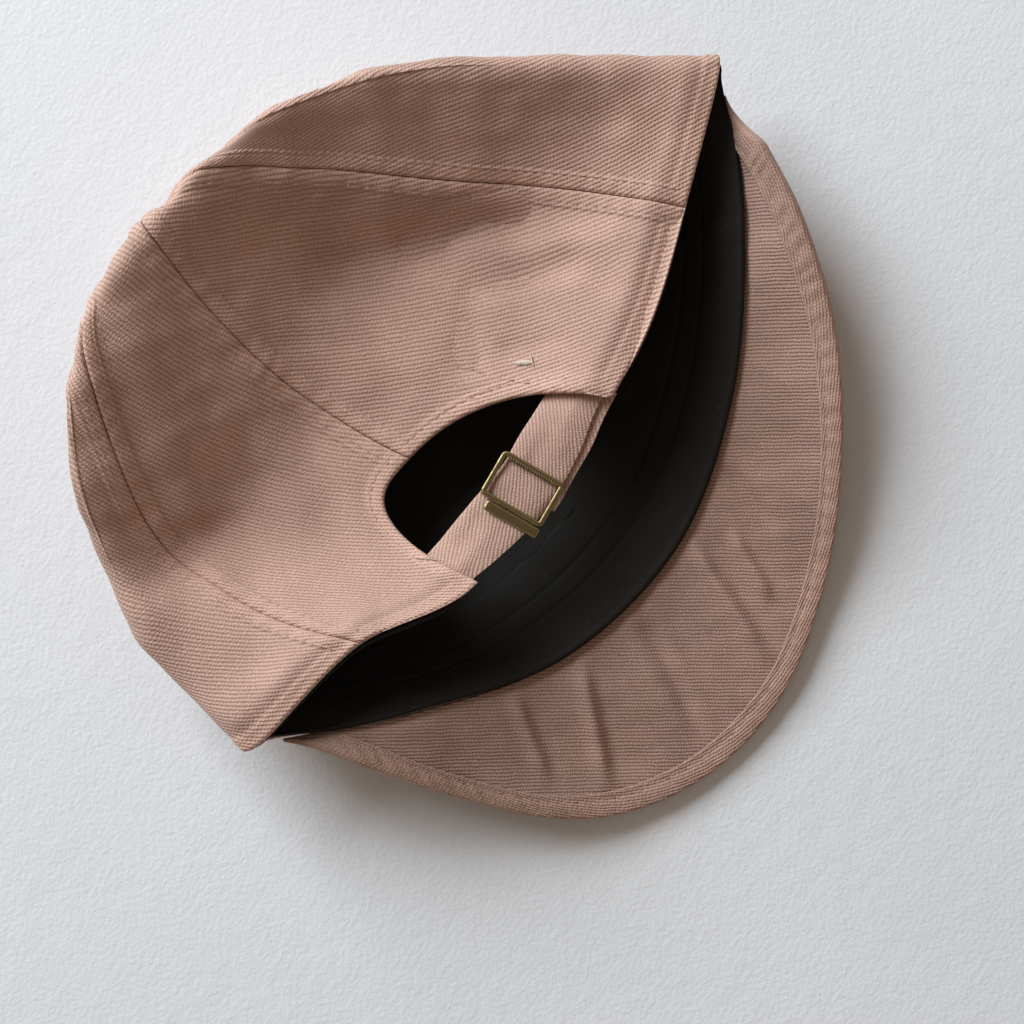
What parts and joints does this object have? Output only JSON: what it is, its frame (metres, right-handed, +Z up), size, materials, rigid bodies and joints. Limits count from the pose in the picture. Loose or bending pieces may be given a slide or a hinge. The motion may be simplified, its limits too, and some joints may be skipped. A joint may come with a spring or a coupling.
{
  "type": "soft six-panel cap",
  "caption": "Soft twill cap with a short soft brim, lying collapsed on its front with its back side and the brim's underside up, and a buckled strap across its rear arch.",
  "frame": {"origin": "middle of the part's box, on the surface that the cap lies on", "axes": "-Y to the brim, +Y to the far end of the crown, +X to the corner at the wearer's right, +Z up from the surface"},
  "size_m": [0.266, 0.252, 0.0625],
  "materials": {
    "pink_twill": "dusty pink washed cotton twill with a diagonal rib",
    "brim_twill": "dusty pink cotton twill, finer rib",
    "binding_twill": "dusty pink bias-cut twill tape",
    "black_cotton": "black cotton sweatband, matte with a slight sheen",
    "black_lining": "black brushed lining, fuzzy",
    "antique_brass": "dull antique brass, worn brighter on its edges",
    "thread": "pink topstitching thread"
  },
  "bodies": {
    "root": {"crown_panel_front_right": "pink_twill", "crown_panel_side_right": "pink_twill", "crown_panel_back_right": "pink_twill", "crown_panel_back_left": "pink_twill", "crown_panel_side_left": "pink_twill", "crown_panel_front_left": "pink_twill", "sweatband": "black_cotton", "front_lining": "black_lining", "brim": "brim_twill", "brim_binding": "binding_twill", "strap_right": "pink_twill", "strap_left": "pink_twill", "strap_tail": "pink_twill", "buckle_frame": "antique_brass", "buckle_plate": "antique_brass"}
  },
  "joints": []
}
